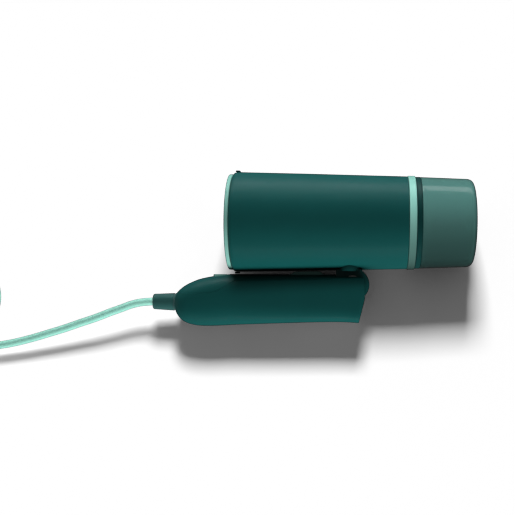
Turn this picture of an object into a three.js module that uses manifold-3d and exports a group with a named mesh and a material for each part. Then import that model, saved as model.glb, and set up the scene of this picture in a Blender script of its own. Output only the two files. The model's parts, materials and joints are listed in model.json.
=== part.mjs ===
// Handheld garment steamer with a folding handle, shown folded and lying on its side.
// Millimetres. In the object's own frame x runs from the steam plate to the water tank, z points away
// from the folded handle, and y = 0 is the plane of symmetry. The last section lays it on the floor.
import * as THREE from 'three';
import { mergeVertices } from 'three/addons/utils/BufferGeometryUtils.js';
import Module from 'manifold-3d';

const wasm = await Module();
wasm.setup();
const { Manifold, Mesh: SolidMesh } = wasm;

// ---- driving dimensions -------------------------------------------------------------------------
const GAP = 0.3;                          // between pieces that touch
const BARREL_FRONT = 3.2;
const BARREL_REAR = 130.6;
const BARREL_WALL = 2.3;
const BARREL_LIP = 35.9;                  // front edge, before its chamfer
const BARREL_REAR_R = 33.75;
const BARREL_LINE = [[5.4, 37.05], [8, 37.05], [53, 35.95], [90, 34.9], [BARREL_REAR, BARREL_REAR_R]];
const RING_R = 35.5;                      // front ring
const TRIM = { from: 130.9, to: 135.9, inner: 31, r: 34.15 };
const COLLAR = { from: 136.3, to: 139.8, r: 33.35, spigot: 30.6, spigotEnd: 143 };
const TANK = { from: 140.1, end: 178.5, r: 33.25, endR: 32, wall: 2, corner: 8.5 };
const NECK_R = 7.6;                       // tank's outlet neck
const PIVOT = { x: 91.5, z: -45.4 };
const KNUCKLE = { r: 11.9, half: 11.4 };
const NECK_X = [79.6, 98.3];
const PAD = { half: 15.5, z: -35.6 };
const PIN_R = 3;
const PIN_HALF = 15;
const WASHER_R = 6.6;                     // friction washers, hidden between the cheeks
const SLOT_HALF = 12.6;                   // between the cheeks of the handle
const GRIP_WALL = 2.4;
const GRIP_END = { x: 99.7, z: -41.5, lowX: 100.3, lowZ: -55, tipX: 95.9, tipZ: -73.8 };
const HOLLOW_START = -38;
const HOLLOW_END = 75.5;
const BOARD_TOP = -56;
const SCREW_X = [14, 38];                 // screws that close the handle
const SCREW_SEAT = -72.4;
const CORD_Z = -60.35;
const CORD_D = 5.6;
const RELIEF_END = -58;
const RELIEF_R = 6.4;
const ROLL = 16.9;                        // lying on head and handle, from the plane of symmetry flat
const PITCH = 1.15;                       // the tapered head lies along its side

// The handle's sections: x, front face z, back face z, half width, superellipse exponent
const GRIP = [
  [-40.7, -57, -64.5, 4.5, 2.2], [-39.9, -54, -68, 8.5, 2.2], [-37.9, -51.5, -71.3, 11.7, 2.2],
  [-34.6, -48.8, -74.3, 14, 2.3], [-29.8, -46, -76.4, 15.6, 2.4], [-22, -42.9, -77.7, 16.7, 2.5],
  [-11, -40.6, -77.6, 17.2, 2.6], [0, -39.3, -76.9, 17.3, 2.6], [8, -39, -76.4, 17.3, 2.7],
  [75, -38.4, -73.2, 17.1, 4], [104, -38.4, -74, 17, 4.4],
];

// ---- materials ----------------------------------------------------------------------------------
const finish = (color, roughness, metalness = 0, opacity = 1) => new THREE.MeshStandardMaterial({
  color, roughness, metalness, opacity, transparent: opacity < 1,
});
const SHELL = finish(0x14504e, 0.42);
const DARK = finish(0x0c3634, 0.5);
const MINT = finish(0x7db9ac, 0.45);
const SMOKE = finish(0x335a55, 0.2, 0, 0.6);
const STEEL = finish(0xb9bcbd, 0.35, 1);
const CAST = finish(0x9a9d9e, 0.55, 1);
const SILICONE = finish(0xd8d8d2, 0.6);
const RUBBER = finish(0x123c39, 0.8);
const INNER = finish(0x2b2e30, 0.6);
const BOARD = finish(0x1f6a3a, 0.6);
const BRASS = finish(0xb08d3f, 0.4, 1);
const CORD = finish(0x6eaa9b, 0.6);

// ---- making solids ------------------------------------------------------------------------------
function solidOf(geometry) {
  const bare = geometry.clone();
  bare.deleteAttribute('normal');
  bare.deleteAttribute('uv');
  const merged = mergeVertices(bare, 1e-4);
  return new Manifold(new SolidMesh({
    numProp: 3,
    vertProperties: new Float32Array(merged.attributes.position.array),
    triVerts: new Uint32Array(merged.index.array),
  }));
}

function geometryOf(solid) {
  const mesh = solid.getMesh();
  const indexed = new THREE.BufferGeometry();
  indexed.setAttribute('position', new THREE.BufferAttribute(mesh.vertProperties, 3));
  indexed.setIndex(new THREE.BufferAttribute(mesh.triVerts, 1));
  const flat = indexed.toNonIndexed();
  flat.computeVertexNormals();
  return flat;
}

const join = (...solids) => Manifold.union(solids);

function box([x0, x1], [y0, y1], [z0, z1]) {
  const geometry = new THREE.BoxGeometry(x1 - x0, y1 - y0, z1 - z0);
  geometry.translate((x0 + x1) / 2, (y0 + y1) / 2, (z0 + z1) / 2);
  return solidOf(geometry);
}

// A round bar along one axis; at gives its centre on the other two.
function bar(axis, radius, from, to, at = {}, sides = 24) {
  const geometry = new THREE.CylinderGeometry(radius, radius, to - from, sides);
  geometry.translate(0, (from + to) / 2, 0);
  if (axis === 'x') geometry.rotateZ(-Math.PI / 2);
  if (axis === 'z') geometry.rotateX(Math.PI / 2);
  geometry.translate(at.x ?? 0, at.y ?? 0, at.z ?? 0);
  return solidOf(geometry);
}

// A body turned about the x axis from [x, radius] points; an open profile is closed on the axis.
function turned(points, sides = 40, z = 0) {
  const profile = points.map(([x, r]) => new THREE.Vector2(r, x));
  const geometry = new THREE.LatheGeometry(profile, sides);
  geometry.rotateZ(-Math.PI / 2);
  geometry.translate(0, 0, z);
  const solid = solidOf(geometry);
  return solid.volume() < 0 ? solidOf(flipped(geometry)) : solid;
}

function flipped(geometry) {
  const turnedOver = geometry.clone();
  const index = turnedOver.index.array;
  for (let i = 0; i < index.length; i += 3) [index[i], index[i + 1]] = [index[i + 1], index[i]];
  return turnedOver;
}

const ring = (x0, x1, inner, outer, sides = 40, z = 0) => turned(
  [[x0, inner], [x1, inner], [x1, outer], [x0, outer], [x0, inner]], sides, z);

// A side view outline, [x, z] points, given thickness across y.
function plate(outline, [y0, y1]) {
  const shape = new THREE.Shape(outline.map(([x, z]) => new THREE.Vector2(x, z)));
  const geometry = new THREE.ExtrudeGeometry(shape, { depth: y1 - y0, bevelEnabled: false });
  geometry.rotateX(Math.PI / 2);
  geometry.translate(0, y1, 0);
  return solidOf(geometry);
}

// A body through rounded sections: each station is [x, top z, bottom z, half width, exponent].
function loft(stations, sides = 24) {
  const positions = [];
  const index = [];
  for (const [x, top, bottom, half, exponent] of stations) {
    const round = (v) => Math.sign(v) * Math.abs(v) ** (2 / exponent);
    for (let i = 0; i < sides; i += 1) {
      const a = (i / sides) * 2 * Math.PI;
      const z = (top + bottom) / 2 + ((top - bottom) / 2) * round(Math.sin(a));
      positions.push(x, half * round(Math.cos(a)), z);
    }
  }
  for (let s = 0; s + 1 < stations.length; s += 1) {
    for (let i = 0; i < sides; i += 1) {
      const a = s * sides + i;
      const b = s * sides + ((i + 1) % sides);
      index.push(a, b, a + sides, b, b + sides, a + sides);
    }
  }
  for (const [s, turn] of [[0, 1], [stations.length - 1, -1]]) {
    const centre = positions.length / 3;
    positions.push(stations[s][0], 0, (stations[s][1] + stations[s][2]) / 2);
    for (let i = 0; i < sides; i += 1) {
      const a = s * sides + i;
      const b = s * sides + ((i + 1) % sides);
      index.push(centre, ...(turn > 0 ? [b, a] : [a, b]));
    }
  }
  const geometry = new THREE.BufferGeometry();
  geometry.setAttribute('position', new THREE.Float32BufferAttribute(positions, 3));
  geometry.setIndex(index);
  return solidOf(geometry);
}

// A round section carried along a smooth line through the points.
function hose(points, radius, steps, sides = 8) {
  const path = new THREE.CatmullRomCurve3(points.map((p) => new THREE.Vector3(...p)), false, 'centripetal');
  const section = new THREE.Shape();
  for (let i = 0; i < sides; i += 1) {
    const a = (i / sides) * 2 * Math.PI;
    section[i ? 'lineTo' : 'moveTo'](radius * Math.cos(a), radius * Math.sin(a));
  }
  return solidOf(new THREE.ExtrudeGeometry(section, { steps, extrudePath: path }));
}

const object = new THREE.Group();
const free = new THREE.Group();

function add(name, solid, material, group = object) {
  const mesh = new THREE.Mesh(geometryOf(solid), material);
  mesh.name = name;
  group.add(mesh);
}

// ---- head: housing ------------------------------------------------------------------------------
const barrelOuter = (extra = 0) => turned([
  [BARREL_FRONT, 0], [BARREL_FRONT, BARREL_LIP + extra], ...BARREL_LINE.map(([x, r]) => [x, r + extra]),
  [BARREL_REAR, 0],
], 48);
const barrelInner = turned([
  [BARREL_FRONT - 1, 0], ...BARREL_LINE.map(([x, r], i) => [i ? x : BARREL_FRONT - 1, r - BARREL_WALL]),
  [BARREL_REAR + 1, BARREL_REAR_R - BARREL_WALL], [BARREL_REAR + 1, 0],
], 32);
add('barrel_shell', barrelOuter().subtract(barrelInner), SHELL);

add('front_ring', turned([
  [0, 30], [0, RING_R - 0.3], [0.3, RING_R], [2.6, RING_R], [2.9, RING_R - 0.3], [2.9, 30], [0, 30],
], 48), MINT);
add('rear_trim_ring', ring(TRIM.from, TRIM.to, TRIM.inner, TRIM.r, 48), MINT);

for (const [name, side] of [['upper', 1], ['lower', -1]]) {
  const lug = box([4.5, 7.1], [-4, 4], [37.4, 38.1]);
  add(`brush_catch_${name}`, side > 0 ? lug : lug.mirror([0, 0, 1]), DARK);
}

const saddle = solidOf(new THREE.CylinderGeometry(1, 1, 1, 32).rotateX(Math.PI / 2))
  .scale([(NECK_X[1] - NECK_X[0]) / 2, PAD.half, 20])
  .translate([(NECK_X[0] + NECK_X[1]) / 2, 0, PAD.z + 10]);
const neckBlock = box(NECK_X, [-KNUCKLE.half, KNUCKLE.half], [PIVOT.z, PAD.z + 1]);
const knuckle = bar('y', KNUCKLE.r, -KNUCKLE.half, KNUCKLE.half, PIVOT, 40);
const pinBore = bar('y', PIN_R + GAP, -PIN_HALF - GAP, PIN_HALF + GAP, PIVOT, 20);
add('hinge_neck', join(saddle, neckBlock, knuckle).subtract(barrelOuter(GAP)).subtract(pinBore), SHELL);

// ---- head: steam and water parts ----------------------------------------------------------------
let steamPlate = turned([[0.8, 0], [0.8, 28.9], [1.6, 29.7], [3.4, 29.7], [3.4, 0]], 40);
for (const [count, radius] of [[12, 20], [6, 10]]) {
  for (let i = 0; i < count; i += 1) {
    const a = (i / count) * 2 * Math.PI;
    const vent = bar('x', 1.6, 0, 4, { y: radius * Math.cos(a), z: radius * Math.sin(a) }, 6);
    steamPlate = steamPlate.subtract(vent);
  }
}
add('steam_plate', steamPlate, STEEL);
add('plate_gasket', ring(3.7, 5.2, 24, 28, 32), SILICONE);

const chamber = bar('x', 27.5, 5.5, 28, {}, 40).subtract(bar('x', 22.5, 5, 20, {}, 32));
add('steam_chamber', join(chamber, bar('x', 4, 27, 34, {}, 16)), CAST);

const ELEMENT = { r: 17, tube: 3, x: 31.4, open: 0.72, tail: 45 };
const elementLine = [];
for (let i = 0; i <= 16; i += 1) {
  const a = -Math.PI / 2 + ELEMENT.open + (i / 16) * 2 * (Math.PI - ELEMENT.open);
  elementLine.push([ELEMENT.x, ELEMENT.r * Math.cos(a), ELEMENT.r * Math.sin(a)]);
}
const [firstEnd, lastEnd] = [elementLine[0], elementLine.at(-1)];
for (const x of [ELEMENT.x + 6, ELEMENT.tail]) {
  elementLine.unshift([x, firstEnd[1], firstEnd[2]]);
  elementLine.push([x, lastEnd[1], lastEnd[2]]);
}
add('heating_element', hose(elementLine, ELEMENT.tube, 30), STEEL);
add('thermostat', bar('x', 6.3, 28.4, 34, { z: -18.5 }, 20), BRASS);
add('thermal_fuse', bar('y', 1.8, -7, 7, { x: 30.6, z: 24.4 }, 12), SILICONE);

let shield = bar('x', 33.1, 46.4, 47.6, {}, 40).subtract(bar('x', 7, 45, 49, { z: 2 }, 16));
for (const side of [-1, 1]) {
  shield = shield.subtract(box([45, 49], [side * 11.2 - 5, side * 11.2 + 5], [-18, -8]));
}
add('heat_shield', shield, INNER);

const PUMP_Z = 4;
const HOSE_R = 2.6;
add('pump', join(
  bar('x', 11, 62, 104, { z: PUMP_Z }), bar('x', 3, 56, 63, { z: PUMP_Z }, 12),
  bar('x', 3, 103, 110, { z: PUMP_Z }, 12),
), INNER);
const yokeOuter = box([71, 95], [-14.6, 14.6], [PUMP_Z - 14.6, PUMP_Z + 14.6]);
const yokeInner = box([70, 96], [-12, 12], [PUMP_Z - 12, PUMP_Z + 12]);
add('pump_yoke', yokeOuter.subtract(yokeInner), STEEL);
for (const [name, x] of [['front', 64], ['rear', 98]]) {
  add(`pump_mount_${name}`, ring(x, x + 5, 11.3, 14.6, 24, PUMP_Z), RUBBER);
}
const tray = [box([50, 119], [-18, 18], [-22, -20])];
for (const x of [64, 98]) tray.push(box([x, x + 5], [-8, 8], [-20.5, PUMP_Z - 14.9]));
for (const y of [-14, 14]) tray.push(box([54, 115], [y - 1, y + 1], [-27, -21.5]));
add('chassis_tray', join(...tray), INNER);
const pressureLine = [[34.3, 0, 0], [40, 0, 0], [49, 0, PUMP_Z], [55.7, 0, PUMP_Z]];
const suctionLine = [[110.3, 0, PUMP_Z], [113, 0, PUMP_Z], [116, 0, 0], [118.7, 0, 0]];
add('pressure_hose', hose(pressureLine, HOSE_R, 10), SILICONE);
add('suction_hose', hose(suctionLine, HOSE_R, 8), SILICONE);

const socket = join(bar('x', 31, 127.3, 130.3, {}, 40), bar('x', 11, 119, 130.3))
  .subtract(bar('x', NECK_R + 0.6, 122, 131, {}, 28));
add('rear_bulkhead', join(socket, bar('x', 1.5, 121, 124.3, {}, 12)), INNER);

// ---- water tank ---------------------------------------------------------------------------------
const corner = (radius, endX, inset) => {
  const points = [];
  for (let i = 0; i <= 4; i += 1) {
    const a = (i / 4) * (Math.PI / 2);
    points.push([endX - inset + inset * Math.sin(a), radius - inset + inset * Math.cos(a)]);
  }
  return points;
};
const tankOuter = turned([
  [TANK.from, 0], [TANK.from, TANK.r], ...corner(TANK.endR, TANK.end - 0.8, TANK.corner), [TANK.end, 0],
], 48);
const tankInner = turned([
  [TANK.from - 1, 0], [TANK.from - 1, TANK.r - TANK.wall],
  ...corner(TANK.endR - TANK.wall, TANK.end - 0.8 - TANK.wall, TANK.corner - TANK.wall),
  [TANK.end - TANK.wall, 0],
], 28);
const fillHole = bar('x', 6.2, TANK.end - 4, TANK.end + 1, {}, 28);
add('tank_shell', tankOuter.subtract(tankInner).subtract(fillHole), SMOKE);

const neckBore = join(
  bar('x', 5.2, 123, 134, {}, 20), bar('x', 3.4, 133, 138, {}, 16), bar('x', 5.4, 137.5, 145, {}, 20),
);
const sealGroove = ring(125.5, 127.7, 6.6, 9, 28);
add('tank_collar', join(
  bar('x', COLLAR.r, COLLAR.from, COLLAR.to, {}, 48),
  bar('x', COLLAR.spigot, COLLAR.to - 1, COLLAR.spigotEnd, {}, 28),
  bar('x', NECK_R, 123.5, 137, {}, 28),
).subtract(neckBore).subtract(sealGroove), DARK);
add('tank_seal', ring(125.7, 127.5, 6.75, 8, 28), SILICONE);
add('valve_poppet', join(
  bar('x', 3.4, 124.8, 126, {}, 16), bar('x', 1.5, 125, 139, {}, 12), bar('x', 4.6, 138, 140, {}, 20),
), BRASS);
add('valve_spring', ring(126.3, 131.6, 2, 3.2, 16), STEEL);
add('filler_plug', join(
  bar('x', 8.6, TANK.end + GAP, TANK.end + 1.5, {}, 28),
  bar('x', 5.8, TANK.end - 4.5, TANK.end + 1, {}, 24),
), DARK);

// ---- handle: shells -----------------------------------------------------------------------------
const gripInside = GRIP.filter(([x]) => x > HOLLOW_START && x < HOLLOW_END).map(
  ([x, top, bottom, half, exponent]) => [
    x + (x < -30 ? GRIP_WALL : 0), top - GRIP_WALL, bottom + GRIP_WALL, half - GRIP_WALL, exponent,
  ]);
const endOutline = [
  [-60, -30], [96.5, -30], [96.5, -38], [98.6, -39], [GRIP_END.x, GRIP_END.z],
  [GRIP_END.lowX, GRIP_END.lowZ], [GRIP_END.tipX, GRIP_END.tipZ], [GRIP_END.tipX - 1, -85], [-60, -85],
];
const cheekSlot = join(
  bar('y', KNUCKLE.r + 1, -SLOT_HALF, SLOT_HALF, PIVOT, 40),
  box([PIVOT.x, 110], [-SLOT_HALF, SLOT_HALF], [PIVOT.z - KNUCKLE.r - 1, -30]),
  box([PIVOT.x - KNUCKLE.r - 1, 110], [-SLOT_HALF, SLOT_HALF], [PIVOT.z, -30]),
);
const gripShell = loft(GRIP)
  .intersect(plate(endOutline, [-30, 30]))
  .subtract(loft(gripInside, 16))
  .subtract(cheekSlot)
  .subtract(pinBore)
  .subtract(bar('x', RELIEF_R + 0.35, -50, -32, { z: CORD_Z }));

// The seam between front cover and rear shell, seen from the side.
const SEAM = [
  [-60, -53], [-16, -53], [-8, -51.5], [0, -47], [7, -43], [14, -42], [HOLLOW_END + 1, -42],
];
const above = (drop) => plate(
  [...SEAM.map(([x, z]) => [x, z - drop]), [HOLLOW_END + 1 + drop, -20], [-60, -20]], [-30, 30]);
const coverRegion = plate([...SEAM, [HOLLOW_END + 1, -20], [-60, -20]], [-30, 30]);

const TRIGGER = { from: 44, to: 73, half: 6.6, pivot: { x: 72.5, z: -44.5 } };
const triggerBore = bar('y', 1.3, -10, 10, TRIGGER.pivot, 12);
const BUTTON = { x: -7, r: 5.2, top: -39.4 };
const LENS = { x: 5, r: 1.6 };
const coverBosses = SCREW_X.map((x) => bar('z', 3.8, -55.4, -40, { x }, 16));
const pivotRibs = [-1, 1].map((side) => box([70, 75], [side * 8.4 - 1, side * 8.4 + 1], [-47, -40]));
const screwBores = SCREW_X.map((x) => bar('z', 1.8, -85, -46, { x }, 12));
const counterbores = SCREW_X.map((x) => bar('z', 3.4, -85, SCREW_SEAT, { x }, 16));
const rearBosses = SCREW_X.map((x) => bar('z', 3.8, -74.4, -55.7, { x }, 16));
add('grip_front_cover', join(gripShell.intersect(coverRegion), ...coverBosses, ...pivotRibs)
  .subtract(join(...screwBores))
  .subtract(triggerBore)
  .subtract(box([TRIGGER.from, TRIGGER.to], [-TRIGGER.half - 0.5, TRIGGER.half + 0.5], [-42, -30]))
  .subtract(bar('z', BUTTON.r + 0.4, -46, -30, { x: BUTTON.x }))
  .subtract(bar('z', LENS.r + GAP, -46, -30, { x: LENS.x }, 16)), SHELL);
add('grip_rear_shell', join(gripShell.subtract(above(GAP)), ...rearBosses)
  .subtract(join(...screwBores, ...counterbores)), SHELL);

// ---- handle: hinge, controls and cord entry -----------------------------------------------------
add('hinge_pin', bar('y', PIN_R, -PIN_HALF, PIN_HALF, PIVOT, 20), STEEL);
for (const [name, side] of [['left', -1], ['right', 1]]) {
  const centre = side * (KNUCKLE.half + SLOT_HALF) / 2;
  const washer = bar('y', WASHER_R, centre - 0.3, centre + 0.3, PIVOT, 28).subtract(pinBore);
  add(`friction_washer_${name}`, washer, STEEL);
}

const triggerOutline = [
  [44.4, -39], [47, -38.2], [48, -37.2], [49.6, -36.65], [66, -36.2], [67.8, -36.7], [69, -37.8],
  [72.6, -39], [72.6, -42.5], [74.8, -43.4], [74.8, -45.8], [72.5, -46.6], [70, -46], [66, -43.6],
  [42.6, -43.6], [42.6, -42.4], [44.4, -42.4],
];
add('steam_trigger', plate(triggerOutline, [-TRIGGER.half, TRIGGER.half])
  .subtract(triggerBore), MINT);
add('trigger_pivot', bar('y', 1, -9.2, 9.2, TRIGGER.pivot, 12), STEEL);
add('trigger_spring', bar('z', 3.2, -49.8, -43.9, { x: 56 }, 16)
  .subtract(bar('z', 2.2, -50, -43, { x: 56 }, 12)), STEEL);
add('trigger_switch', box([50, 61], [-3.2, 3.2], [BOARD_TOP + GAP, -52.6]), INNER);

add('power_button', join(
  bar('z', BUTTON.r, -45, BUTTON.top, { x: BUTTON.x }), bar('z', 6.4, -45.8, -44.7, { x: BUTTON.x }),
), MINT);
add('power_switch', box([BUTTON.x - 3, BUTTON.x + 3], [-3, 3], [BOARD_TOP + GAP, -47.6]), INNER);
add('indicator_lens', bar('z', LENS.r, -43, -39.2, { x: LENS.x }, 16), SILICONE);

const boardHoles = SCREW_X.map((x) => bar('z', 4.2, -60, -50, { x }, 16));
add('control_board', box([-18, 62], [-12.3, 12.3], [BOARD_TOP - 1.6, BOARD_TOP])
  .subtract(join(...boardHoles)), BOARD);
add('relay', box([19, 33], [-8, 8], [-69, BOARD_TOP - 1.9]), INNER);
SCREW_X.forEach((x, i) => add(`grip_screw_${i + 1}`, join(
  bar('z', 3, SCREW_SEAT - 2.2, SCREW_SEAT - GAP, { x }, 16), bar('z', 1.5, SCREW_SEAT - 1, -47, { x }, 12),
), STEEL));

add('strain_relief', turned([
  [RELIEF_END, 0], [RELIEF_END, 4.7], [-57, 5.6], [-41.8, RELIEF_R], [-41.6, 5.5], [-41, 5.5],
  [-40.8, RELIEF_R], [-32.4, RELIEF_R], [-32.4, 7.6], [-30.6, 7.6], [-30.6, 4], [-21, 4], [-21, 0],
], 20, CORD_Z), RUBBER);
const clamp = box([-29, -24], [-10, 10], [CORD_Z + 0.6, -53.6])
  .subtract(bar('x', 4.3, -35, -20, { z: CORD_Z }));
const CLAMP_SCREWS = { x: -26.5, y: 7.2 };
const clampScrews = [-CLAMP_SCREWS.y, CLAMP_SCREWS.y].map((y) => ({ x: CLAMP_SCREWS.x, y }));
const clampBores = clampScrews.map((at) => bar('z', 1.5, -75, -50, at, 12));
add('cord_clamp', clamp.subtract(join(...clampBores)), INNER);
clampScrews.forEach((at, i) => add(`clamp_screw_${i + 1}`, join(
  bar('z', 2.4, -53.3, -51.6, at, 12), bar('z', 1.2, -66, -53, at, 10),
), STEEL));

// ---- laying it down -----------------------------------------------------------------------------
const lie = new THREE.Matrix4().makeRotationY(THREE.MathUtils.degToRad(PITCH))
  .multiply(new THREE.Matrix4().makeRotationX(THREE.MathUtils.degToRad(ROLL - 90)));
object.applyMatrix4(lie);
object.updateMatrixWorld(true);
const outline = new THREE.Box3();
object.traverse((mesh) => {
  if (mesh.isMesh && mesh.name !== 'strain_relief') outline.expandByObject(mesh, true);
});
const middle = outline.getCenter(new THREE.Vector3());
object.position.set(-middle.x, -middle.y, -outline.min.z);

// ---- mains cord, on the floor that the object lies on -------------------------------------------
const CORD_R = CORD_D / 2;
const COIL = { x: -296, y: -37.8, inner: 22.4, outer: 39.6, bottom: 1.2, top: 18 };
const CORD_ROUTE = [
  [-128.6, -38.8, 20.9], [-137.8, -39.6, 20.8], [-145.6, -41.4, 20.4], [-153.4, -44.2, 19.7],
  [-161.3, -46.9, 19], [-169.2, -49.8, 18], [-177.1, -52.5, 17], [-185.1, -54.9, 16], [-193, -57.5, 15],
  [-201.1, -60, 14], [-209.2, -62.3, 13.1], [-217.2, -64.6, 12.2], [-225.3, -66.8, 11.4],
  [-233.4, -68.8, 10.7], [-241.5, -70.5, 10.1], [-249.6, -71.9, 9.7], [-258, -73, 9.5],
  [-268, -73.9, 9.5], [-280, -74.4, 9.6], [-288, -74.5, 9.6],
];
const TAIL_ROUTE = [
  [-302, -74.5, 15.2], [-310, -74.5, 14.6], [-325, -73.5, 13.3], [-338, -69.5, 12.3],
  [-349, -62, 11.7], [-355, -52, 11.4], [-356.9, -44, 11.3], [-357, -38.5, 11.3],
];
const PLUG = { x: -357, y: -38, z: 11.3 };

const coilRing = (extra) => {
  const { inner, outer, bottom, top } = COIL;
  const profile = [[inner - extra, bottom - extra], [outer + extra, bottom - extra]];
  profile.push([outer + extra, top + extra], [inner - extra, top + extra], profile[0]);
  const geometry = new THREE.LatheGeometry(profile.map(([r, z]) => new THREE.Vector2(r, z)), 40);
  geometry.rotateX(Math.PI / 2);
  const solid = solidOf(geometry);
  return (solid.volume() < 0 ? solidOf(flipped(geometry)) : solid).translate([COIL.x, COIL.y, 0]);
};
add('mains_cord', hose(CORD_ROUTE, CORD_R, 20, 10).subtract(coilRing(GAP)), CORD, free);
add('mains_cord_tail', hose(TAIL_ROUTE, CORD_R, 12, 10).subtract(coilRing(GAP)), CORD, free);
add('cord_coil', coilRing(0), CORD, free);

const tieY = [COIL.y + COIL.inner - 1.2, COIL.y + COIL.outer + 0.35];
const tieZ = [COIL.bottom - 0.35, COIL.top + 0.35];
const grown = ([low, high]) => [low - 0.75, high + 0.75];
add('cord_tie', box([COIL.x - 6, COIL.x + 6], grown(tieY), grown(tieZ))
  .subtract(box([COIL.x - 7, COIL.x + 7], tieY, tieZ)), DARK, free);

// Stations from the cord's entry to the face with the pins.
const PLUG_LINE = [
  [0, 4.3, 2], [16, 5.6, 2], [20, 8, 2.2, 9.5], [26, 10.5, 2.6, 15], [34, 11, 3, 17.3],
  [50, 11, 3.2, 17.5], [53, 10, 3.2, 16.5],
];
const placePlug = (solid) => solid.rotate([0, 0, 90]).translate([PLUG.x, PLUG.y, PLUG.z]);
add('plug_body', placePlug(loft(PLUG_LINE.map(
  ([x, half, exponent, wide]) => [x, half, -half, wide ?? half, exponent]))), DARK, free);
[-9.5, 9.5].forEach((y, i) => add(`plug_pin_${i + 1}`, placePlug(
  join(bar('x', 2.4, 53 + GAP, 70.5, { y }, 16), bar('x', 1.7, 70, 72, { y }, 16))), STEEL, free));

const steamer = new THREE.Group();
steamer.add(object, free);
export default steamer;
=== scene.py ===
"""The looks of a folding garment steamer, built round its CAD frame.

Shapes are made in the object's own axes, in millimetres, as its CAD source is: x runs from the steam plate to
the water tank, z points away from the folded handle, and y = 0 is the plane of symmetry. OWN carries them to
the row frame, in metres.
"""

import json
import math

import bmesh
import bpy
from mathutils import Matrix, Vector


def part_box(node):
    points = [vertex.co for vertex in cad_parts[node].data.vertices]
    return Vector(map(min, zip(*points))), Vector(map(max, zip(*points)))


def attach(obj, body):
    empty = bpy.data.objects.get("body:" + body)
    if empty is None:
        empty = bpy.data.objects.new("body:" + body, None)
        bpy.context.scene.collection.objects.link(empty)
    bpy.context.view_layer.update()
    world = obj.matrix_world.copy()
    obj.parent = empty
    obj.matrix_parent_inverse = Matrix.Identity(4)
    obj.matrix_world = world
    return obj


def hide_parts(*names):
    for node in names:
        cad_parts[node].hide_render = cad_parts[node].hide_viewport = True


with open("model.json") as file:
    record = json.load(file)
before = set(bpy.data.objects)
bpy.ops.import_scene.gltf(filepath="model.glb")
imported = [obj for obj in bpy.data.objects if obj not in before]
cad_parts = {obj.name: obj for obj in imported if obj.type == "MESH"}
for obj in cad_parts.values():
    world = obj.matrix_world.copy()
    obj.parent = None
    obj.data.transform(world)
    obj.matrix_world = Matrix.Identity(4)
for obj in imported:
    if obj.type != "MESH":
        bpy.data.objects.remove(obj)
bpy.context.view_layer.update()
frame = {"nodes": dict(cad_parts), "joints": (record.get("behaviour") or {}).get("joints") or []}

MM = 0.001
NODES = frame["nodes"]
JOINTS = {joint["name"]: joint for joint in frame["joints"]}

# ---- driving dimensions, millimetres ----------------------------------------------------------------
PIVOT_X, PIVOT_Z = 91.5, -45.4
BARREL_FRONT, BARREL_REAR = 3.2, 130.6
TRIM = (130.9, 135.9)
COLLAR = (136.3, 139.8)
COLLAR_R, COLLAR_SPIGOT_R, COLLAR_SPIGOT_END = 33.35, 30.6, 143
TANK_FROM, TANK_END, TANK_WALL = 140.1, 178.5, 2.0
PIN_BORE_R = 3.3
KNUCKLE_R, KNUCKLE_HALF = 11.9, 11.4
KNUCKLE_SLOT_R, KNUCKLE_SLOT_HALF = 12.9, 12.6
BUTTON_X, LAMP_X = -7, 5
SCREW_X = (14, 38)
SCREW_SEAT = -72.4                        # floor of the closing screws' counterbores
CORD_Z, CORD_R = -60.35, 2.8

AXIS_X = Vector(JOINTS["tank_pull"]["axis"]).normalized()
AXIS_Y = Vector(JOINTS["head_fold"]["axis"]).normalized()
AXIS_Z = AXIS_X.cross(AXIS_Y).normalized()
PIVOT = Vector(JOINTS["head_fold"]["pos_m"])
ORIGIN = PIVOT - AXIS_X * PIVOT_X * MM - AXIS_Z * PIVOT_Z * MM
OWN = Matrix.Translation(ORIGIN) @ Matrix((AXIS_X, AXIS_Y, AXIS_Z)).transposed().to_4x4() @ Matrix.Scale(MM, 4)


def own(x, y, z):
    """A point given in the object's own millimetres, in the row frame."""
    return OWN @ Vector((x, y, z))


# ---- camera -----------------------------------------------------------------------------------------
CAMERA_AT = (90.9, -657.0, -26.4)
CAMERA_YAW = math.radians(6.1)
CAMERA_ROLL = math.radians(0.5)
FOCAL_PX = 884.0
FRAME_PX = 515.0
SENSOR = 36.0


def make_camera():
    data = bpy.data.cameras.new("camera")
    data.sensor_width = SENSOR
    data.lens = FOCAL_PX / FRAME_PX * SENSOR
    data.clip_start = 0.01
    data.clip_end = 20.0
    camera = bpy.data.objects.new("camera", data)
    bpy.context.scene.collection.objects.link(camera)
    ahead = -math.sin(CAMERA_YAW) * AXIS_X + math.cos(CAMERA_YAW) * AXIS_Y
    right = ahead.cross(AXIS_Z).normalized()
    tilted_right = right * math.cos(CAMERA_ROLL) + AXIS_Z * math.sin(CAMERA_ROLL)
    tilted_up = tilted_right.cross(ahead)
    turn = Matrix((tilted_right, tilted_up, -ahead)).transposed().to_4x4()
    camera.matrix_world = Matrix.Translation(own(*CAMERA_AT)) @ turn
    bpy.context.scene.camera = camera


make_camera()


# ---- materials --------------------------------------------------------------------------------------
def new_material(name):
    material = bpy.data.materials.new(name)
    material.use_nodes = True
    tree = material.node_tree
    return material, tree, tree.nodes["Principled BSDF"]


def add_node(tree, kind, inputs=None, **settings):
    node = tree.nodes.new(kind)
    for key, value in settings.items():
        setattr(node, key, value)
    for key, value in (inputs or {}).items():
        node.inputs[key].default_value = value
    return node


def noise(tree, coords, scale, detail=2.0, roughness=0.5):
    node = add_node(tree, "ShaderNodeTexNoise", {"Scale": scale, "Detail": detail, "Roughness": roughness})
    tree.links.new(coords, node.inputs["Vector"])
    return node.outputs["Fac"]


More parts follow.
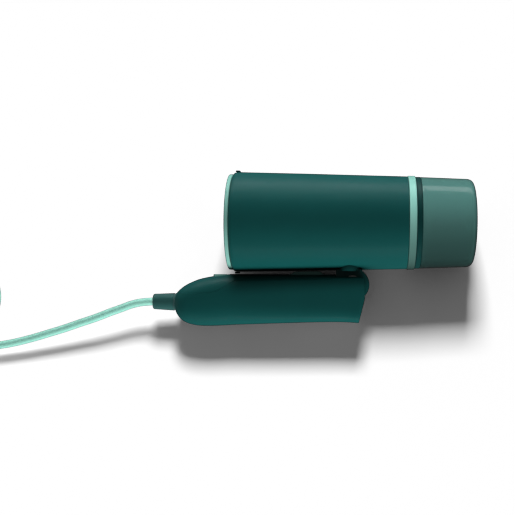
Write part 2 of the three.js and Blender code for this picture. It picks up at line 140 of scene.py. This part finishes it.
def ramp(tree, value, low, high, out_low, out_high):
    node = add_node(tree, "ShaderNodeMapRange", {1: low, 2: high, 3: out_low, 4: out_high})
    tree.links.new(value, node.inputs["Value"])
    return node.outputs["Result"]


def mottled(tree, coords, colour, scale, spread):
    """The colour, a little lighter and darker from place to place."""
    mix = add_node(tree, "ShaderNodeMix", data_type="RGBA")
    mix.inputs[6].default_value = (*[c * (1 - spread) for c in colour], 1)
    mix.inputs[7].default_value = (*[min(1, c * (1 + spread)) for c in colour], 1)
    tree.links.new(noise(tree, coords, scale, 4.0), mix.inputs[0])
    return mix.outputs[2]


def bump(tree, shader, height, strength, distance):
    node = add_node(tree, "ShaderNodeBump", {"Strength": strength, "Distance": distance})
    tree.links.new(height, node.inputs["Height"])
    tree.links.new(node.outputs["Normal"], shader.inputs["Normal"])


def plastic(name, colour, rough=0.4, grain=0.25, spread=0.06, coat=0.0, specular=0.5):
    """Moulded plastic with a fine spark-eroded grain and slightly uneven gloss."""
    material, tree, shader = new_material(name)
    coords = add_node(tree, "ShaderNodeTexCoord").outputs["Object"]
    tree.links.new(mottled(tree, coords, colour, 60, spread), shader.inputs["Base Color"])
    tree.links.new(ramp(tree, noise(tree, coords, 220, 3.0), 0.3, 0.7, rough - 0.05, rough + 0.05),
                   shader.inputs["Roughness"])
    bump(tree, shader, noise(tree, coords, 2600, 1.0), grain, 0.00008)
    shader.inputs["Coat Weight"].default_value = coat
    shader.inputs["Specular IOR Level"].default_value = specular
    return material


def metal(name, colour, rough=0.3, brushed=(1, 1, 1), strength=0.15):
    """Bare metal; brushed stretches its marks along the axis with the smallest number."""
    material, tree, shader = new_material(name)
    coords = add_node(tree, "ShaderNodeTexCoord").outputs["Object"]
    stretch = add_node(tree, "ShaderNodeMapping", {"Scale": brushed})
    tree.links.new(coords, stretch.inputs["Vector"])
    marks = noise(tree, stretch.outputs["Vector"], 900, 3.0)
    tree.links.new(mottled(tree, coords, colour, 120, 0.08), shader.inputs["Base Color"])
    tree.links.new(ramp(tree, marks, 0.3, 0.7, rough - 0.08, rough + 0.1), shader.inputs["Roughness"])
    bump(tree, shader, marks, strength, 0.00005)
    shader.inputs["Metallic"].default_value = 1.0
    return material


def rubber(name, colour, rough=0.55, spread=0.08, sheen=0.2):
    material, tree, shader = new_material(name)
    coords = add_node(tree, "ShaderNodeTexCoord").outputs["Object"]
    tree.links.new(mottled(tree, coords, colour, 90, spread), shader.inputs["Base Color"])
    tree.links.new(ramp(tree, noise(tree, coords, 300, 2.0), 0.3, 0.7, rough - 0.06, rough + 0.06),
                   shader.inputs["Roughness"])
    bump(tree, shader, noise(tree, coords, 1500, 2.0), 0.2, 0.0001)
    shader.inputs["Sheen Weight"].default_value = sheen
    return material


def smoked(name, colour, rough=0.12):
    """Clear tinted plastic: part of the light goes through, part is held by the tint."""
    material, tree, shader = new_material(name)
    coords = add_node(tree, "ShaderNodeTexCoord").outputs["Object"]
    tree.links.new(mottled(tree, coords, colour, 30, 0.05), shader.inputs["Base Color"])
    tree.links.new(ramp(tree, noise(tree, coords, 150, 3.0), 0.3, 0.7, rough - 0.03, rough + 0.05),
                   shader.inputs["Roughness"])
    bump(tree, shader, noise(tree, coords, 120, 1.0), 0.05, 0.0002)
    shader.inputs["Transmission Weight"].default_value = 0.55
    shader.inputs["IOR"].default_value = 1.49
    return material


TEAL = plastic("teal_plastic", (0.004, 0.055, 0.052), rough=0.45, grain=0.3)
TEAL_DARK = plastic("dark_teal_plastic", (0.003, 0.030, 0.028), rough=0.45)
MINT = plastic("mint_plastic", (0.15, 0.34, 0.295), rough=0.38, grain=0.2, spread=0.04)
SMOKE = smoked("smoked_plastic", (0.10, 0.26, 0.235))
RELIEF = rubber("dark_rubber", (0.010, 0.062, 0.058), rough=0.5)
CORD = rubber("mint_cord", (0.25, 0.56, 0.47), rough=0.5)
SEAL = rubber("pale_silicone", (0.62, 0.62, 0.58), rough=0.45)
BLACK = plastic("inner_plastic", (0.02, 0.022, 0.024), rough=0.5)
STEEL = metal("bright_steel", (0.58, 0.58, 0.57), rough=0.28)
PLATE = metal("brushed_plate", (0.55, 0.55, 0.54), rough=0.3, brushed=(1, 0.06, 1), strength=0.25)
CAST = metal("cast_aluminium", (0.46, 0.46, 0.45), rough=0.5, strength=0.5)
BRASS = metal("brass", (0.55, 0.4, 0.16), rough=0.3)
BOARD = plastic("circuit_board", (0.012, 0.13, 0.045), rough=0.35, coat=0.3)

NODE_MATERIALS = {
    "steam_chamber": CAST, "heating_element": STEEL, "thermostat": BRASS, "thermal_fuse": SEAL,
    "heat_shield": BLACK, "pump": BLACK, "pump_yoke": STEEL, "pump_mount_front": RELIEF,
    "pump_mount_rear": RELIEF, "chassis_tray": BLACK, "pressure_hose": SEAL, "suction_hose": SEAL,
    "rear_bulkhead": BLACK, "plate_gasket": SEAL, "tank_seal": SEAL, "valve_poppet": BRASS,
    "valve_spring": STEEL, "hinge_pin": STEEL, "friction_washer_left": STEEL,
    "friction_washer_right": STEEL, "trigger_pivot": STEEL, "trigger_spring": STEEL,
    "trigger_switch": BLACK, "power_switch": BLACK, "indicator_lens": SEAL, "control_board": BOARD,
    "relay": BLACK, "cord_clamp": BLACK, "grip_screw_1": STEEL, "grip_screw_2": STEEL,
    "clamp_screw_1": STEEL, "clamp_screw_2": STEEL, "plug_pin_1": STEEL, "plug_pin_2": STEEL,
    "brush_catch_upper": TEAL_DARK, "brush_catch_lower": TEAL_DARK, "cord_tie": RELIEF,
}
for node_name, node in NODES.items():
    node.data.materials.clear()
    node.data.materials.append(NODE_MATERIALS.get(node_name, TEAL))


# ---- mesh making ------------------------------------------------------------------------------------
def link(name, mesh, material, transform=OWN):
    """Puts a mesh made in millimetres into the scene, in place, with its own name and material."""
    mesh.transform(transform)
    mesh.materials.clear()
    mesh.materials.append(material)
    piece = bpy.data.objects.new(name, mesh)
    bpy.context.scene.collection.objects.link(piece)
    return piece


def shade(mesh, angle=32):
    mesh.shade_smooth()
    mesh.set_sharp_from_angle(angle=math.radians(angle))


def mesh_from(points, faces):
    mesh = bpy.data.meshes.new("shape")
    mesh.from_pydata(points, [], faces)
    tidy = bmesh.new()
    tidy.from_mesh(mesh)
    bmesh.ops.remove_doubles(tidy, verts=tidy.verts, dist=1e-4)
    bmesh.ops.recalc_face_normals(tidy, faces=tidy.faces)
    tidy.to_mesh(mesh)
    tidy.free()
    return mesh


def rounded(profile, steps=4):
    """Profile points (x, r) or (x, r, fillet): corners with a fillet become arcs."""
    out = []
    count = len(profile)
    for i, corner in enumerate(profile):
        here = Vector(corner[:2])
        fillet = corner[2] if len(corner) > 2 else 0
        if not fillet:
            out.append(here)
            continue
        before = Vector(profile[(i - 1) % count][:2]) - here
        after = Vector(profile[(i + 1) % count][:2]) - here
        half = before.angle(after) / 2
        reach = min(fillet / math.tan(half), before.length * 0.49, after.length * 0.49)
        start, end = here + before.normalized() * reach, here + after.normalized() * reach
        for k in range(steps + 1):
            t = k / steps
            out.append(start * (1 - t) ** 2 + here * 2 * t * (1 - t) + end * t ** 2)
    return out


def turned(profile, sides=160, z=0.0, steps=4):
    """A body turned about a line along x at height z. A profile that starts on the line also ends on it."""
    line = rounded(profile, steps)
    on_axis = profile[0][1] < 1e-6
    rings = len(line)
    points = []
    for x, r in line:
        for i in range(sides):
            a = i / sides * 2 * math.pi
            points.append((x, r * math.cos(a), z + r * math.sin(a)))
    faces = []
    for k in range(rings - 1 if on_axis else rings):
        a, b = k * sides, (k + 1) % rings * sides
        for i in range(sides):
            j = (i + 1) % sides
            faces.append((a + i, a + j, b + j, b + i))
    return mesh_from(points, faces)


def capped(points, sides):
    """A solid from two rings of points, one after the other."""
    faces = [tuple(range(sides)), tuple(range(sides, 2 * sides))]
    faces += [(i, (i + 1) % sides, sides + (i + 1) % sides, sides + i) for i in range(sides)]
    return mesh_from(points, faces)


def round_bar(axis, radius, start, end, x=0.0, y=0.0, z=0.0, sides=64):
    """A cylinder along the named axis, from start to end."""
    centre = {"x": (0, y, z), "y": (x, 0, z), "z": (x, y, 0)}[axis]
    points = []
    for t in (start, end):
        for i in range(sides):
            a = i / sides * 2 * math.pi
            u, v = radius * math.cos(a), radius * math.sin(a)
            offset = {"x": (t, u, v), "y": (u, t, v), "z": (u, v, t)}[axis]
            points.append(tuple(c + o for c, o in zip(centre, offset)))
    return capped(points, sides)


def block(xs, ys, zs):
    points = [(x, y, z) for x in xs for y in ys for z in zs]
    faces = [(0, 1, 3, 2), (4, 6, 7, 5), (0, 4, 5, 1), (2, 3, 7, 6), (0, 2, 6, 4), (1, 5, 7, 3)]
    return mesh_from(points, faces)


def side_plate(outline, ys):
    """A side view outline, (x, z) points, given thickness across y."""
    points = [(x, y, z) for y in ys for x, z in outline]
    return capped(points, len(outline))


def combine(base, *steps):
    """Booleans on meshes: each step is (operation, mesh)."""
    body = bpy.data.objects.new("body", base)
    bpy.context.scene.collection.objects.link(body)
    tools = []
    for operation, mesh in steps:
        tool = bpy.data.objects.new("tool", mesh)
        bpy.context.scene.collection.objects.link(tool)
        tools.append(tool)
        cut = body.modifiers.new("cut", "BOOLEAN")
        cut.operation = operation
        cut.solver = "EXACT"
        cut.object = tool
    result = evaluated(body)
    for tool in [*tools, body]:
        bpy.data.objects.remove(tool)
    return result


def evaluated(piece):
    graph = bpy.context.evaluated_depsgraph_get()
    graph.update()
    return bpy.data.meshes.new_from_object(piece.evaluated_get(graph))


def softened(mesh, width, angle=35, segments=3):
    """The mesh with its sharp edges rounded."""
    body = bpy.data.objects.new("body", mesh)
    bpy.context.scene.collection.objects.link(body)
    bevel = body.modifiers.new("bevel", "BEVEL")
    bevel.width = width
    bevel.segments = segments
    bevel.limit_method = "ANGLE"
    bevel.angle_limit = math.radians(angle)
    bevel.miter_outer = "MITER_ARC"
    result = evaluated(body)
    bpy.data.objects.remove(body)
    return result


def catmull(points, per_span):
    """A smooth line through the points."""
    ends = [points[0] * 2 - points[1], *points, points[-1] * 2 - points[-2]]
    line = []
    for k in range(1, len(ends) - 2):
        a, b, c, d = ends[k - 1:k + 3]
        for i in range(per_span):
            t = i / per_span
            line.append(0.5 * ((2 * b) + (c - a) * t + (2 * a - 5 * b + 4 * c - d) * t ** 2
                               + (3 * b - a - 3 * c + d) * t ** 3))
    line.append(points[-1])
    return line


def tube(name, line, radius, material):
    """A round curve of one open spline along points in the row frame, in metres."""
    data = bpy.data.curves.new(name, "CURVE")
    data.dimensions = "3D"
    data.bevel_depth = radius
    data.bevel_resolution = 5
    data.use_fill_caps = True
    spline = data.splines.new("POLY")
    spline.points.add(len(line) - 1)
    for point, place in zip(spline.points, line):
        point.co = (*place, 1)
    data.materials.append(material)
    piece = bpy.data.objects.new(name, data)
    bpy.context.scene.collection.objects.link(piece)
    return piece


# ---- cord, in row millimetres -----------------------------------------------------------------------
CORD_ROUTE = [
    (-128.6, -38.8, 20.9), (-137.8, -39.6, 20.8), (-145.6, -41.4, 20.4), (-153.4, -44.2, 19.7),
    (-161.3, -46.9, 19), (-169.2, -49.8, 18), (-177.1, -52.5, 17), (-185.1, -54.9, 16), (-193, -57.5, 15),
    (-201.1, -60, 14), (-209.2, -62.3, 13.1), (-217.2, -64.6, 12.2), (-225.3, -66.8, 11.4),
    (-233.4, -68.8, 10.7), (-241.5, -70.5, 10.1), (-249.6, -71.9, 9.7), (-258, -73, 9.5),
    (-268, -73.9, 9.5), (-280, -74.4, 9.6), (-288, -74.5, 9.6),
]
TAIL_ROUTE = [
    (-310, -74.5, 14.6), (-325, -73.5, 13.3), (-338, -69.5, 12.3), (-349, -62, 11.7),
    (-355, -52, 11.4), (-356.9, -44, 11.3), (-357, -38.5, 11.3),
]
COIL_AT = (-296.0, -37.8)
COIL_LAYERS = (4.0, 9.6, 15.2)            # heights of the turns
COIL_RADII = (25.5, 31.1, 36.7)
# Each turn's (radius, layer), in the order it is wound.
COIL_TURNS = [(2, 1), (2, 0), (1, 0), (0, 0), (0, 1), (1, 1), (0, 2), (1, 2), (2, 2)]
TURN_STEPS = 40
CROSSING = 0.3                            # share of a turn spent moving to the next place


def coil_line():
    line = []
    for k, (ring, layer) in enumerate(COIL_TURNS):
        after = COIL_TURNS[min(k + 1, len(COIL_TURNS) - 1)]
        for i in range(TURN_STEPS):
            share = i / TURN_STEPS
            t = max(0.0, (share - 1 + CROSSING) / CROSSING)
            t = t * t * (3 - 2 * t)
            radius = COIL_RADII[ring] * (1 - t) + COIL_RADII[after[0]] * t
            height = COIL_LAYERS[layer] * (1 - t) + COIL_LAYERS[after[1]] * t
            a = -math.pi / 2 - share * 2 * math.pi
            line.append(Vector((COIL_AT[0] + radius * math.cos(a), COIL_AT[1] + radius * math.sin(a), height)))
    line.append(Vector((COIL_AT[0], COIL_AT[1] - COIL_RADII[2], COIL_LAYERS[2])))
    return line


def make_cord():
    points = [Vector(p) for p in CORD_ROUTE] + coil_line() + [Vector(p) for p in TAIL_ROUTE]
    line = [p * MM for p in catmull(points, 4)]
    piece = tube("mains_lead", line, CORD_R * MM, CORD)
    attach(piece, "handle")
    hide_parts("mains_cord", "mains_cord_tail", "cord_coil")
    return piece, line[0]


mains_lead, cord_exit = make_cord()

# ---- head -------------------------------------------------------------------------------------------
BARREL_LINE = [(8, 37.05), (30, 36.5), (53, 35.95), (72, 35.42), (90, 34.9), (110, 34.34)]
BARREL_REAR_R = 33.75
BARREL_WALL = 2.3


def finish_piece(name, mesh, material, body, nodes, angle=32, transform=OWN):
    shade(mesh, angle)
    piece = link(name, mesh, material, transform)
    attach(piece, body)
    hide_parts(*nodes)
    return piece


def make_barrel():
    outside = [(BARREL_FRONT, 35.7, 0.2), (4.1, 36.6, 0.5), (5.6, 37.05, 1.2), *BARREL_LINE,
               (BARREL_REAR, BARREL_REAR_R, 0.35)]
    inside = [(BARREL_REAR, BARREL_REAR_R - BARREL_WALL, 0.3), (90, 34.9 - BARREL_WALL),
              (8, 37.05 - BARREL_WALL), (BARREL_FRONT, 34.2, 0.2)]
    finish_piece("barrel", turned(outside + inside, 192), TEAL, "head", ["barrel_shell"])
    ring = [(0, 30, 0.3), (0, 35.5, 0.45), (2.7, 35.5, 0.3), (2.9, 30.0)]
    finish_piece("front_ring_fine", turned(ring, 192), MINT, "head", ["front_ring"])
    trim = [(TRIM[0], 31), (TRIM[0], 34.15, 0.35), (TRIM[1], 34.1, 0.35), (TRIM[1], 31)]
    finish_piece("rear_ring_fine", turned(trim, 192), MINT, "head", ["rear_trim_ring"])


def make_catches():
    """The two low lugs behind the front ring that an attachment snaps onto."""
    for name, side in (("brush_catch_upper", 1), ("brush_catch_lower", -1)):
        inner, outer = sorted((37.3 * side, 38.15 * side))
        lug = block((4.4, 7.2), (-4, 4), (inner, outer))
        finish_piece(f"{name}_fine", softened(lug, 0.35), TEAL_DARK, "head", [name])


def make_steam_plate():
    plate = turned([(0.8, 0), (0.8, 12), (0.8, 28.8, 0.8), (1.5, 29.7, 0.3), (3.4, 29.7, 0.2), (3.4, 0)], 160)
    holes = []
    for count, radius in ((12, 20), (6, 10)):
        for i in range(count):
            a = i / count * 2 * math.pi
            y, z = radius * math.cos(a), radius * math.sin(a)
            holes.append(("DIFFERENCE", round_bar("x", 1.6, 0, 4, y=y, z=z, sides=24)))
    mesh = softened(combine(plate, *holes), 0.2, segments=2)
    finish_piece("steam_plate_fine", mesh, PLATE, "head", ["steam_plate"])


def make_tank():
    inset = TANK_WALL
    outer = [(TANK_FROM, 33.25, 0.3), (156, 32.6), (168, 32.1), (177.6, 31.7, 8.6), (TANK_END, 6.2, 0.3)]
    inner = [(TANK_END - inset, 6.2, 0.2), (177.6 - inset, 31.7 - inset, 6.6), (168, 32.1 - inset),
             (156, 32.6 - inset), (TANK_FROM, 33.25 - inset, 0.2)]
    finish_piece("tank_fine", turned(outer + inner, 192, steps=10), SMOKE, "tank", ["tank_shell"])
    collar = [(COLLAR[0], 0), (COLLAR[0], COLLAR_R, 0.3), (COLLAR[1], COLLAR_R, 0.3),
              (COLLAR[1], COLLAR_SPIGOT_R), (COLLAR_SPIGOT_END, COLLAR_SPIGOT_R, 0.4), (COLLAR_SPIGOT_END, 0)]
    neck = round_bar("x", 7.6, 123.5, 137)
    mesh = combine(
        turned(collar, 160), ("UNION", neck),
        ("DIFFERENCE", round_bar("x", 5.2, 123, 134)), ("DIFFERENCE", round_bar("x", 3.4, 133, 138)),
        ("DIFFERENCE", round_bar("x", 5.4, 137.5, 145)),
        ("DIFFERENCE", turned([(125.5, 6.6), (127.7, 6.6), (127.7, 9), (125.5, 9)], 64)))
    finish_piece("tank_collar_fine", mesh, TEAL_DARK, "tank", ["tank_collar"])
    plug = [(174, 0), (174, 5.5, 0.4), (TANK_END + 0.3, 5.8, 0.2), (TANK_END + 0.3, 8.6, 0.25),
            (TANK_END + 1.5, 8.6, 0.5), (TANK_END + 1.5, 6.4, 0.2), (TANK_END + 1.0, 5.8, 0.2),
            (TANK_END + 1.0, 0)]
    rib = softened(block((TANK_END, TANK_END + 1.45), (-1.2, 1.2), (-6, 6)), 0.3)
    mesh = combine(turned(plug, 96), ("UNION", rib))
    finish_piece("filler_plug_fine", mesh, RELIEF, "filler", ["filler_plug"])


def make_neck():
    """The neck under the head: an oval saddle that follows the barrel, and the knuckle on the hinge pin."""
    points = []
    sides = 96
    for z in (-35.6, -20):
        for i in range(sides):
            a = i / sides * 2 * math.pi
            points.append((88.95 + 9.35 * math.cos(a), 15.5 * math.sin(a), z))
    saddle = capped(points, sides)
    barrel = turned([(0, 0), (0, 37.35), (8, 37.35), (53, 36.25), (90, 35.2), (131, 34.1), (131, 0)], 160)
    mesh = combine(
        saddle, ("UNION", block((79.6, 98.3), (-KNUCKLE_HALF, KNUCKLE_HALF), (PIVOT_Z, -34.6))),
        ("UNION", round_bar("y", KNUCKLE_R, -KNUCKLE_HALF, KNUCKLE_HALF, x=PIVOT_X, z=PIVOT_Z, sides=128)),
        ("DIFFERENCE", barrel), ("DIFFERENCE", round_bar("y", PIN_BORE_R, -16, 16, x=PIVOT_X, z=PIVOT_Z)))
    finish_piece("neck_fine", softened(mesh, 0.5), TEAL, "head", ["hinge_neck"])


make_barrel()
make_catches()
make_steam_plate()
make_tank()
make_neck()

# ---- handle -----------------------------------------------------------------------------------------
# Sections of the handle: x, front face z, back face z, half width, superellipse exponent.
GRIP = [
    (-40.7, -57, -64.5, 4.5, 2.2), (-39.9, -54, -68, 8.5, 2.2), (-37.9, -51.5, -71.3, 11.7, 2.2),
    (-34.6, -48.8, -74.3, 14, 2.3), (-29.8, -46, -76.4, 15.6, 2.4), (-22, -42.9, -77.7, 16.7, 2.5),
    (-11, -40.6, -77.6, 17.2, 2.6), (0, -39.3, -76.9, 17.3, 2.6), (8, -39, -76.4, 17.3, 2.7),
    (75, -38.4, -73.2, 17.1, 4), (104, -38.4, -74, 17, 4.4),
]
GRIP_WALL = 2.4
HOLLOW_FROM, HOLLOW_TO = -38, 75.5        # sections between these are hollow
ACROSS = (-30, 30)                        # y range that is wider than the handle
SEAM = [(-60, -53), (-16, -53), (-8, -51.5), (0, -47), (7, -43), (14, -42), (76.5, -42)]
SEAM_GAP = 0.14
CREASE = (0.16, -38, -6)                  # how much the cover leans in, x where that is full, x where it ends
CREASE_REACH = 12                         # height over the seam at which the lean reaches its whole share


def between(stations, per_span):
    """More stations along the handle, on a smooth line through the given ones."""
    rows = [Vector(s) for s in stations]
    return catmull(rows, per_span)


def loft(stations, sides):
    points, faces = [], []
    for x, top, bottom, half, exponent in stations:
        middle, reach = (top + bottom) / 2, (top - bottom) / 2
        for i in range(sides):
            a = (i + 0.5) / sides * 2 * math.pi
            c, s = math.cos(a), math.sin(a)
            y = half * math.copysign(abs(c) ** (2 / exponent), c)
            z = middle + reach * math.copysign(abs(s) ** (2 / exponent), s)
            points.append((x, y, z))
    for k in range(len(stations) - 1):
        for i in range(sides):
            j = (i + 1) % sides
            faces.append((k * sides + i, k * sides + j, (k + 1) * sides + j, (k + 1) * sides + i))
    last = (len(stations) - 1) * sides
    faces += [tuple(range(sides)), tuple(range(last, last + sides))]
    return mesh_from(points, faces)


def grip_blank():
    """The handle in one piece, with its end shape, its hollow, the knuckle's slot and the bores."""
    end = [(-60, -30), (96.5, -30), (96.5, -38), (98.6, -39), (99.7, -41.5), (100.3, -55), (95.9, -73.8),
           (94.9, -85), (-60, -85)]
    inside = [(x + (GRIP_WALL if x < -30 else 0), top - GRIP_WALL, bottom + GRIP_WALL, half - GRIP_WALL, e)
              for x, top, bottom, half, e in GRIP if HOLLOW_FROM < x < HOLLOW_TO]
    reach = KNUCKLE_SLOT_R
    slot = (-KNUCKLE_SLOT_HALF, KNUCKLE_SLOT_HALF)
    steps = [
        ("INTERSECT", side_plate(end, ACROSS)),
        ("DIFFERENCE", loft(between(inside, 3), 48)),
        ("DIFFERENCE", round_bar("y", reach, *slot, x=PIVOT_X, z=PIVOT_Z, sides=96)),
        ("DIFFERENCE", block((PIVOT_X, 110), slot, (PIVOT_Z - reach, -30))),
        ("DIFFERENCE", block((PIVOT_X - reach, 110), slot, (PIVOT_Z, -30))),
        ("DIFFERENCE", round_bar("y", PIN_BORE_R, -15.3, 15.3, x=PIVOT_X, z=PIVOT_Z)),
        ("DIFFERENCE", round_bar("x", 6.75, -50, -32, z=CORD_Z)),
    ]
    return combine(loft(between(GRIP, 6), 96), *steps)


def lean_in(cover):
    """Leans the cover's sides in above the seam, at the free end, where the photo shows a crease."""
    most, full, stop = CREASE
    seam_z = SEAM[1][1]
    for vertex in cover.vertices:
        x, y, z = vertex.co
        share = min(1.0, max(0.0, (stop - x) / (stop - full)))
        rise = max(0.0, z - seam_z) / CREASE_REACH
        vertex.co.y = y * (1 - most * share * share * rise)


def make_grip():
    """The front cover and the rear shell, parted along the seam."""
    cover_side = [*SEAM, (76.5, -20), (-60, -20)]
    drop = [(x, z - SEAM_GAP) for x, z in SEAM] + [(76.8, -20), (-60, -20)]
    blank = grip_blank()
    cover = combine(
        blank.copy(), ("INTERSECT", side_plate(cover_side, ACROSS)),
        ("DIFFERENCE", block((44, 73), (-7.1, 7.1), (-42, -30))),
        ("DIFFERENCE", round_bar("z", 5.6, -46, -30, x=BUTTON_X)),
        ("DIFFERENCE", round_bar("z", 1.9, -46, -30, x=LAMP_X)))
    lean_in(cover)
    finish_piece("grip_cover_fine", softened(cover, 0.14, segments=2), TEAL, "handle",
                 ["grip_front_cover"])
    cutters = [("DIFFERENCE", side_plate(drop, ACROSS))]
    for x in SCREW_X:
        cutters.append(("DIFFERENCE", round_bar("z", 3.4, -85, SCREW_SEAT, x=x)))
        cutters.append(("DIFFERENCE", round_bar("z", 1.8, -85, -46, x=x)))
    rear = combine(blank, *cutters)
    finish_piece("grip_rear_fine", softened(rear, 0.14, segments=2), TEAL, "handle",
                 ["grip_rear_shell"])


def make_controls():
    """The trigger, the power button and the strain relief, which is returned."""
    outline = [(44.4, -39), (47, -38.2), (48, -37.2), (49.6, -36.65), (66, -36.2), (67.8, -36.7),
               (69, -37.8), (72.6, -39), (72.6, -42.5), (74.8, -43.4), (74.8, -45.8), (72.5, -46.6),
               (70, -46), (66, -43.6), (42.6, -43.6), (42.6, -42.4), (44.4, -42.4)]
    pivot_bore = round_bar("y", 1.3, -10, 10, x=72.5, z=-44.5)
    mesh = combine(side_plate(outline, (-6.6, 6.6)), ("DIFFERENCE", pivot_bore))
    finish_piece("trigger_fine", softened(mesh, 0.4), MINT, "trigger", ["steam_trigger"])
    button = round_bar("z", 5.2, -45, -39.4, x=BUTTON_X, sides=96)
    mesh = combine(button, ("UNION", round_bar("z", 6.4, -45.8, -44.7, x=BUTTON_X, sides=96)))
    finish_piece("button_fine", softened(mesh, 0.35), MINT, "button", ["power_button"])
    relief = [(-58, 0), (-58, 3.4, 0.3), (-57.8, 5.6, 0.9), (-41.9, 6.4, 0.3), (-41.7, 5.6),
              (-41, 5.6), (-40.8, 6.4), (-32.4, 6.4), (-32.4, 7.6, 0.3), (-30.6, 7.6, 0.3), (-30.6, 4),
              (-21, 4, 0.3), (-21, 0)]
    return finish_piece("strain_relief_fine", turned(relief, 96, CORD_Z), RELIEF, "handle",
                        ["strain_relief"])


make_grip()
strain_relief = make_controls()


# ---- plug -------------------------------------------------------------------------------------------
def make_plug():
    line = [(0, 4.3, 4.3, 2), (4, 4.4, 4.4, 2), (12, 5.2, 5.2, 2), (16, 5.6, 5.6, 2), (18, 6.4, 7, 2.1),
            (20, 8, 9.5, 2.2), (23, 9.6, 12.6, 2.4), (26, 10.5, 15, 2.6), (30, 10.9, 16.6, 2.8),
            (34, 11, 17.3, 3), (42, 11, 17.5, 3.1), (50, 11, 17.5, 3.2), (52, 10.7, 17.2, 3.2),
            (53, 10, 16.5, 3.2)]
    mesh = loft([(x, half, -half, wide, e) for x, half, wide, e in line], 96)
    grooves = []
    for x in (4, 7, 10, 13):
        grooves.append(("DIFFERENCE", turned([(x, 3.6), (x + 1, 3.6), (x + 1, 8), (x, 8)], 64)))
    low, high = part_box("plug_body")
    place = Matrix.Translation(((low.x + high.x) / 2, low.y, (low.z + high.z) / 2))
    place = place @ Matrix.Rotation(math.pi / 2, 4, "Z") @ Matrix.Scale(MM, 4)
    return finish_piece("plug_fine", softened(combine(mesh, *grooves), 0.3), TEAL_DARK, "handle",
                        ["plug_body"], transform=place)


plug = make_plug()


# ---- floor, light and surroundings ------------------------------------------------------------------
WORLD_LIGHT = 0.06                        # strength of the surroundings as light on the object
WORLD_GLOSS = 0.03                        # and as they show in reflections
FLOOR_HALF = 4.0                          # metres
REAR_PIECES = ("tank_fine", "rear_ring_fine")     # they have a fill light of their own


def make_floor():
    mesh = bpy.data.meshes.new("floor")
    half = FLOOR_HALF
    corners = [(-half, -half, 0), (half, -half, 0), (half, half, 0), (-half, half, 0)]
    mesh.from_pydata(corners, [], [(0, 1, 2, 3)])
    floor = bpy.data.objects.new("floor", mesh)
    bpy.context.scene.collection.objects.link(floor)
    material, _, shader = new_material("floor_white")
    shader.inputs["Base Color"].default_value = (0.9, 0.9, 0.9, 1)
    shader.inputs["Roughness"].default_value = 0.9
    mesh.materials.append(material)
    floor.is_shadow_catcher = True
    floor.visible_glossy = False
    return floor


def area_light(name, toward, reach, size, power, target=(0, 0, 0.035), **seen_by):
    """A soft box `reach` metres from the target, in the direction `toward`."""
    data = bpy.data.lights.new(name, "AREA")
    data.shape = "RECTANGLE"
    data.size, data.size_y = size
    data.energy = power
    light = bpy.data.objects.new(name, data)
    direction = Vector(toward).normalized()
    light.location = Vector(target) + direction * reach
    light.rotation_euler = direction.to_track_quat("Z", "Y").to_euler()
    light.visible_camera = False
    light.visible_transmission = False
    for ray, seen in seen_by.items():
        setattr(light, ray, seen)
    bpy.context.scene.collection.objects.link(light)
    return light


def linked(pieces, state):
    """A collection for light linking: lights reach only these pieces, or all but these."""
    group = bpy.data.collections.new("light_link")
    for piece in pieces:
        group.objects.link(piece)
    for member in group.collection_objects:
        member.light_linking.link_state = state
    return group


def keep_off(pieces, lights):
    """The lights don't reach the pieces, and the pieces don't block them."""
    group = linked(pieces, "EXCLUDE")
    for light in lights:
        light.light_linking.receiver_collection = group
        light.light_linking.blocker_collection = group


def make_world():
    """White where the camera sees it, and much weaker as light and in reflections."""
    world = bpy.data.worlds.new("studio")
    bpy.context.scene.world = world
    world.use_nodes = True
    tree = world.node_tree
    seen = tree.nodes["Background"]
    seen.inputs["Color"].default_value = (1, 1, 1, 1)
    path = add_node(tree, "ShaderNodeLightPath")
    lit = add_node(tree, "ShaderNodeBackground", {"Color": (1, 1, 1, 1), "Strength": WORLD_LIGHT})
    mirrored = add_node(tree, "ShaderNodeBackground", {"Color": (1, 1, 1, 1), "Strength": WORLD_GLOSS})
    for_gloss = add_node(tree, "ShaderNodeMixShader")
    tree.links.new(path.outputs["Is Glossy Ray"], for_gloss.inputs[0])
    tree.links.new(lit.outputs[0], for_gloss.inputs[1])
    tree.links.new(mirrored.outputs[0], for_gloss.inputs[2])
    mix = add_node(tree, "ShaderNodeMixShader")
    tree.links.new(path.outputs["Is Camera Ray"], mix.inputs[0])
    tree.links.new(for_gloss.outputs[0], mix.inputs[1])
    tree.links.new(seen.outputs[0], mix.inputs[2])
    tree.links.new(mix.outputs[0], tree.nodes["World Output"].inputs["Surface"])


floor = make_floor()
make_world()
area_light("key", (0.04, 0.96, 1.03), 1.2, (0.3, 0.3), 8.5, visible_glossy=False)
top = area_light("top", (0.0, 0.93, 0.37), 1.0, (1.2, 0.3), 15, visible_glossy=False)
gleam = area_light("gleam", (0.0, 0.98, 0.2), 1.0, (1.6, 0.3), 2.4, visible_diffuse=False)
fill = area_light("fill", (0.1, -0.97, -0.06), 1.0, (1.2, 0.4), 21, visible_glossy=False)
rear_fill = area_light("rear_fill", (0.0, -0.3, 0.95), 1.0, (0.6, 0.6), 6, visible_glossy=False)
keep_off([floor], [top, gleam])
rear = [bpy.data.objects[name] for name in REAR_PIECES]
keep_off([floor, *rear], [fill])
rear_fill.light_linking.receiver_collection = linked(rear, "INCLUDE")
bpy.context.scene.view_settings.view_transform = "Standard"
